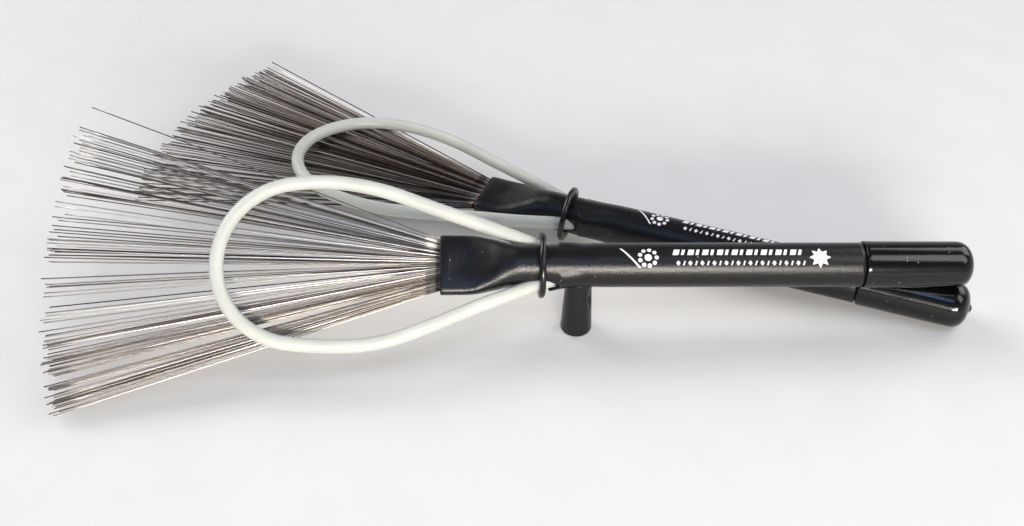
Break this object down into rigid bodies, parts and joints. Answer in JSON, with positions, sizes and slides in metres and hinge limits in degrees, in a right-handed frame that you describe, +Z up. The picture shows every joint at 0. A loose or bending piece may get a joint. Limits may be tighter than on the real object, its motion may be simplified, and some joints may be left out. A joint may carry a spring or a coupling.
{
  "type": "wire drum brushes",
  "caption": "Pair of wire drum brushes crossed at their tails, each a black handle with a fan of fine steel wires, a white loop, a neck ring and a rounded end cap.",
  "frame": {"origin": "centre of the bounding box of the pair in plan, on the table plane", "axes": "+X from the wire tips towards the end caps along the front brush, +Y away from the front brush towards the rear brush's fan, +Z up from the table"},
  "size_m": [0.336, 0.2142, 0.0649],
  "materials": {
    "black_rubber": "satin rubber grip",
    "ring_rubber": "smooth rubber cord",
    "peg_rubber": "dull rubber",
    "black_vinyl": "glossy dipped vinyl",
    "wire_steel": "drawn steel wire",
    "raw_aluminium": "raw tube",
    "white_nylon": "smooth milky nylon",
    "amber_resin": "cast resin",
    "grey_plastic": "moulded plastic"
  },
  "bodies": {
    "rear_brush": {"rear_handle_tube": "raw_aluminium", "rear_grip_sleeve": "black_rubber", "rear_wire_fan": "wire_steel", "rear_root_plug": "amber_resin", "rear_nylon_loop": "white_nylon", "rear_loop_stop": "grey_plastic", "rear_tail_plug": "grey_plastic"},
    "rear_ring": {"rear_neck_ring": "ring_rubber"},
    "rear_cap": {"rear_end_cap": "black_vinyl"},
    "front_brush": {"front_handle_tube": "raw_aluminium", "front_grip_sleeve": "black_rubber", "front_wire_fan": "wire_steel", "front_root_plug": "amber_resin", "front_nylon_loop": "white_nylon", "front_loop_stop": "grey_plastic", "front_tail_plug": "grey_plastic", "rest_peg": "peg_rubber"},
    "front_ring": {"front_neck_ring": "ring_rubber"},
    "front_cap": {"front_end_cap": "black_vinyl"}
  },
  "joints": [
    {"name": "front_brush_lift", "type": "slide", "parent": "rear_brush", "child": "front_brush", "axis": [0, 0, 1], "range_m": [0, 0.06]},
    {"name": "rear_ring_slide", "type": "slide", "parent": "rear_brush", "child": "rear_ring", "axis": [0.9383, -0.3452, -0.0215], "range_m": [0, 0.02]},
    {"name": "front_ring_slide", "type": "slide", "parent": "front_brush", "child": "front_ring", "axis": [0.9994, 0.0279, -0.0209], "range_m": [0, 0.0045]},
    {"name": "rear_cap_slide", "type": "slide", "parent": "rear_brush", "child": "rear_cap", "axis": [0.9383, -0.3452, -0.0215], "range_m": [0, 0.045]},
    {"name": "front_cap_slide", "type": "slide", "parent": "front_brush", "child": "front_cap", "axis": [0.9994, 0.0279, -0.0209], "range_m": [0, 0.045]}
  ]
}
